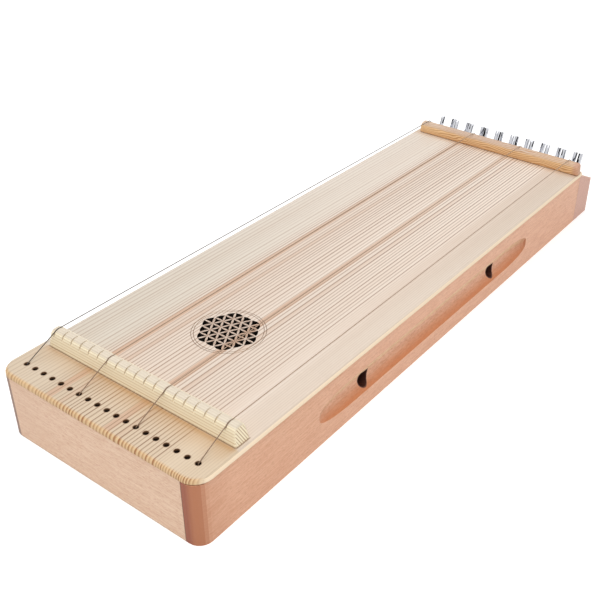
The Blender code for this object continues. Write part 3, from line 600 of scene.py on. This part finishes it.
class MonochordSizes(bpy.types.PropertyGroup):
    ring_spacing: bpy.props.FloatProperty(
        name="Ring spacing", description="Distance between the soundboard's growth rings",
        default=0.0034, unit="LENGTH")
    string_diameter: bpy.props.FloatProperty(
        name="String diameter", description="Thickness of each string's wire",
        default=0.0007, unit="LENGTH")
    pin_proud: bpy.props.FloatProperty(
        name="Pin height", description="How far a tuning pin stands above the block",
        default=0.022, unit="LENGTH")
    pin_head: bpy.props.FloatProperty(
        name="Pin head", description="Length of a tuning pin's square head",
        default=0.0125, unit="LENGTH")
    pin_half_flat: bpy.props.FloatProperty(
        name="Pin half flat", description="Half the width across the head's flats",
        default=0.00215, unit="LENGTH")
    spruce_pale: bpy.props.FloatVectorProperty(
        name="Pale spruce", description="Early wood of the soundboard",
        default=tone(229, 214, 199), subtype="COLOR")
    spruce_warm: bpy.props.FloatVectorProperty(
        name="Warm spruce", description="Warmer bands of the soundboard",
        default=tone(222, 203, 186), subtype="COLOR")
    spruce_ring: bpy.props.FloatVectorProperty(
        name="Spruce ring", description="Late wood lines of the soundboard",
        default=tone(150, 116, 92), subtype="COLOR")
    # Colour of the soundboard's warm streaks and of the painted string shadows on it.
    spruce_streak_and_shadow: bpy.props.FloatVectorProperty(
        name="Spruce streak", description="Warm streaks along the soundboard",
        default=tone(206, 170, 142), subtype="COLOR")
    beech_light: bpy.props.FloatVectorProperty(
        name="Light side beech", description="Light bands of the sides",
        default=tone(248, 198, 166), subtype="COLOR")
    beech_dark: bpy.props.FloatVectorProperty(
        name="Dark side beech", description="Dark bands of the sides",
        default=tone(230, 172, 138), subtype="COLOR")
    block_light: bpy.props.FloatVectorProperty(
        name="Light block beech", description="Light bands of the end blocks",
        default=tone(244, 212, 184), subtype="COLOR")
    block_dark: bpy.props.FloatVectorProperty(
        name="Dark block beech", description="Dark bands of the end blocks",
        default=tone(228, 190, 160), subtype="COLOR")
    bridge_pale: bpy.props.FloatVectorProperty(
        name="Near bridge", description="Wood of the slotted near bridge",
        default=tone(252, 239, 208), subtype="COLOR")
    bridge_light: bpy.props.FloatVectorProperty(
        name="Light far bridge", description="Light figure of the far bridge",
        default=tone(244, 204, 152), subtype="COLOR")
    bridge_brown: bpy.props.FloatVectorProperty(
        name="Brown far bridge", description="Brown figure of the far bridge",
        default=tone(182, 122, 68), subtype="COLOR")


class MONOCHORD_OT_soundboard(bpy.types.Operator):
    """Finish the spruce soundboard"""
    bl_idname = "monochord.soundboard"
    bl_label = "Soundboard"

    def execute(self, context):
        dress("soundboard", spruce_finish(context.scene.monochord))
        return {"FINISHED"}


class MONOCHORD_OT_box(bpy.types.Operator):
    """Finish the sides, the end blocks, the back board and the braces"""
    bl_idname = "monochord.box"
    bl_label = "Sound box"

    def execute(self, context):
        sizes = context.scene.monochord
        side = side_finish(sizes)
        for node in ("side_left", "side_right"):
            dress(node, side)
        dress("hitch_block", hitch_block_finish(sizes))
        dress("pin_block", pin_block_finish(sizes))
        inside = inside_finish("spruce_inside", tone(226, 206, 178), tone(198, 170, 136))
        for node in ("back_board", "board_brace_1", "board_brace_2", "board_brace_3",
                     "back_brace_1", "back_brace_2"):
            dress(node, inside)
        return {"FINISHED"}


class MONOCHORD_OT_bridges(bpy.types.Operator):
    """Finish both bridges"""
    bl_idname = "monochord.bridges"
    bl_label = "Bridges"

    def execute(self, context):
        dress("near_bridge", near_bridge_finish(context.scene.monochord))
        dress("far_bridge", far_bridge_finish(context.scene.monochord))
        return {"FINISHED"}


class MONOCHORD_OT_strings(bpy.types.Operator):
    """Stretch the four wires and finish their ball ends"""
    bl_idname = "monochord.strings"
    bl_label = "Strings"

    def execute(self, context):
        steel = metal_finish("string_steel", tone(168, 142, 120), tone(132, 108, 88), 0.45, 0.3, 0.5)
        dark_steel = metal_finish("string_steel_dark", tone(84, 76, 70), tone(64, 58, 54), 0.45, 0.2)
        brass = metal_finish("ball_brass", tone(206, 170, 96), tone(160, 120, 60), 0.3)
        for station in STRUNG:
            name = f"string_{station:02d}"
            points = string_route(station)
            curve = bpy.data.curves.new(f"{name}_wire", "CURVE")
            curve.dimensions = "3D"
            curve.bevel_depth = context.scene.monochord.string_diameter / 2
            curve.bevel_resolution = 2
            curve.use_fill_caps = True
            spline = curve.splines.new("POLY")
            spline.points.add(len(points) - 1)
            for knot, point in zip(spline.points, points):
                knot.co = (*point, 1.0)
            wire = dark_steel if station == 1 else steel
            add_piece(f"{name}_wire", curve, wire, "body", name)
            dress(f"ball_end_{station:02d}", brass)
        return {"FINISHED"}


class MONOCHORD_OT_pins(bpy.types.Operator):
    """Set the nineteen plated tuning pins"""
    bl_idname = "monochord.pins"
    bl_label = "Tuning pins"

    def execute(self, context):
        nickel = metal_finish("pin_nickel", tone(210, 211, 216), tone(180, 180, 186), 0.05)
        shape = pin_shape(context.scene.monochord)
        lean = Matrix.Rotation(BLOCK_SLOPE, 4, "Y")
        for station in range(1, STATIONS + 1):
            name = f"tuning_pin_{station:02d}"
            mesh = bpy.data.meshes.new(f"{name}_plated")
            shape.to_mesh(mesh)
            mesh.set_sharp_from_angle(angle=math.radians(30))
            turn = Matrix.Rotation(PIN_TURN * station, 4, "Z")
            mesh.transform(Matrix.Translation(pin_place(station)) @ lean @ turn)
            add_piece(f"{name}_plated", mesh, nickel, f"pin_{station:02d}", name)
        shape.free()
        return {"FINISHED"}


class MONOCHORD_OT_stage(bpy.types.Operator):
    """Set the floor, the lights and the camera"""
    bl_idname = "monochord.stage"
    bl_label = "Stage"

    def execute(self, context):
        scene = context.scene
        scene.view_settings.view_transform = "Standard"
        self.add_floor(scene)
        self.add_world(scene)
        self.add_light("key", (-0.7, -0.5, 1.5), 1.0, 10.5)
        self.add_light("top", (0.5, 0.9, 1.6), 1.5, 9.5)
        self.add_dark_card("dark_card_left", (-0.25, 1.05, 0.30), (1.1, 0.9))
        self.add_dark_card("dark_card_right", (0.05, -1.10, 0.21), (0.7, 0.8))
        self.add_dark_card("dark_card_far", (1.3, 0.25, 0.25), (0.5, 0.8))
        self.add_camera(scene)
        return {"FINISHED"}

    def add_floor(self, scene):
        """White floor that keeps the object's shadow."""
        mesh = bpy.data.meshes.new("floor")
        bm = bmesh.new()
        bmesh.ops.create_grid(bm, x_segments=1, y_segments=1, size=6.0)
        bm.to_mesh(mesh)
        bm.free()
        floor = bpy.data.objects.new("floor", mesh)
        scene.collection.objects.link(floor)
        finish = Finish("floor")
        diffuse = finish.node("ShaderNodeBsdfDiffuse", {}, {"Color": (0.82, 0.82, 0.82)})
        seen = finish.node("ShaderNodeLightPath", {}, {}, "Is Camera Ray")
        mirrored = finish.node("ShaderNodeLightPath", {}, {}, "Is Glossy Ray")
        glow = finish.node("ShaderNodeEmission", {}, {"Strength": (seen + mirrored) * 0.42})
        both = finish.node("ShaderNodeAddShader", {}, {0: diffuse, 1: glow})
        finish.node("ShaderNodeOutputMaterial", {}, {"Surface": both})
        mesh.materials.append(finish.material)

    def add_world(self, scene):
        """Even white surroundings, seen by the camera and in plated metal as plain white."""
        world = bpy.data.worlds.new("studio")
        world.use_nodes = True
        tree = world.node_tree
        background = tree.nodes["Background"]
        background.inputs["Color"].default_value = (1.0, 1.0, 1.0, 1.0)
        rays = tree.nodes.new("ShaderNodeLightPath")
        either = tree.nodes.new("ShaderNodeMath")
        either.operation = "MAXIMUM"
        tree.links.new(rays.outputs["Is Camera Ray"], either.inputs[0])
        tree.links.new(rays.outputs["Is Glossy Ray"], either.inputs[1])
        level = tree.nodes.new("ShaderNodeMapRange")
        level.inputs["To Min"].default_value = 0.63
        level.inputs["To Max"].default_value = 1.0
        tree.links.new(either.outputs[0], level.inputs["Value"])
        tree.links.new(level.outputs[0], background.inputs["Strength"])
        scene.world = world

    def add_light(self, name, place, size, power):
        """Square area light aimed at the middle of the instrument."""
        data = bpy.data.lights.new(name, "AREA")
        data.energy = power
        data.size = size
        lamp = bpy.data.objects.new(name, data)
        lamp.location = place
        lamp.rotation_euler = (-Vector(place)).to_track_quat("-Z", "Y").to_euler()
        bpy.context.scene.collection.objects.link(lamp)

    def add_dark_card(self, name, place, size):
        """Upright dark card that only polished metal mirrors."""
        mesh = bpy.data.meshes.new(name)
        bm = bmesh.new()
        turn = (-Vector(place)).to_track_quat("-Z", "Y").to_matrix().to_4x4()
        shape = Matrix.Diagonal((size[0] / 2, size[1] / 2, 1.0, 1.0))
        bmesh.ops.create_grid(bm, x_segments=1, y_segments=1, size=1.0,
                              matrix=Matrix.Translation(place) @ turn @ shape)
        bm.to_mesh(mesh)
        bm.free()
        card = bpy.data.objects.new(name, mesh)
        bpy.context.scene.collection.objects.link(card)
        finish = Finish(name)
        black = finish.node("ShaderNodeBsdfDiffuse", {}, {"Color": (0.01, 0.01, 0.01)})
        finish.node("ShaderNodeOutputMaterial", {}, {"Surface": black})
        mesh.materials.append(finish.material)
        card.visible_camera = False
        card.visible_diffuse = False
        card.visible_shadow = False

    def add_camera(self, scene):
        """Camera at the photograph's place and direction."""
        data = bpy.data.cameras.new("camera")
        data.sensor_width = 36.0
        data.lens = 54.26
        data.shift_x = -0.0644
        data.shift_y = -0.0017
        data.clip_start = 0.01
        camera = bpy.data.objects.new("camera", data)
        forward = Vector((0.67984, 0.49101, -0.54474)).normalized()
        up = Vector((0.43056, 0.33407, 0.83846))
        right = forward.cross(up).normalized()
        up = right.cross(forward)
        turn = Matrix((right, up, -forward)).transposed()
        camera.matrix_world = Matrix.Translation((-0.5865, -0.4061, 0.4624)) @ turn.to_4x4()
        scene.collection.objects.link(camera)
        scene.camera = camera


STEPS = (MONOCHORD_OT_soundboard, MONOCHORD_OT_box, MONOCHORD_OT_bridges, MONOCHORD_OT_strings,
         MONOCHORD_OT_pins, MONOCHORD_OT_stage)


class MONOCHORD_PT_panel(bpy.types.Panel):
    """Sizes, colours and steps that dress the monochord"""
    bl_idname = "MONOCHORD_PT_panel"
    bl_label = "Monochord"
    bl_space_type = "VIEW_3D"
    bl_region_type = "UI"
    bl_category = "Monochord"

    def draw(self, context):
        sizes = context.scene.monochord
        for name in MonochordSizes.__annotations__:
            self.layout.prop(sizes, name)
        for step in STEPS:
            self.layout.operator(step.bl_idname)


CLASSES = (MonochordSizes, *STEPS, MONOCHORD_PT_panel)


def register():
    for each in CLASSES:
        bpy.utils.register_class(each)
    bpy.types.Scene.monochord = bpy.props.PointerProperty(type=MonochordSizes)


def unregister():
    del bpy.types.Scene.monochord
    for each in reversed(CLASSES):
        bpy.utils.unregister_class(each)


def main():
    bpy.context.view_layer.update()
    register()
    for step in STEPS:
        group, name = step.bl_idname.split(".")
        getattr(getattr(bpy.ops, group), name)()


if __name__ == "__main__":
    main()
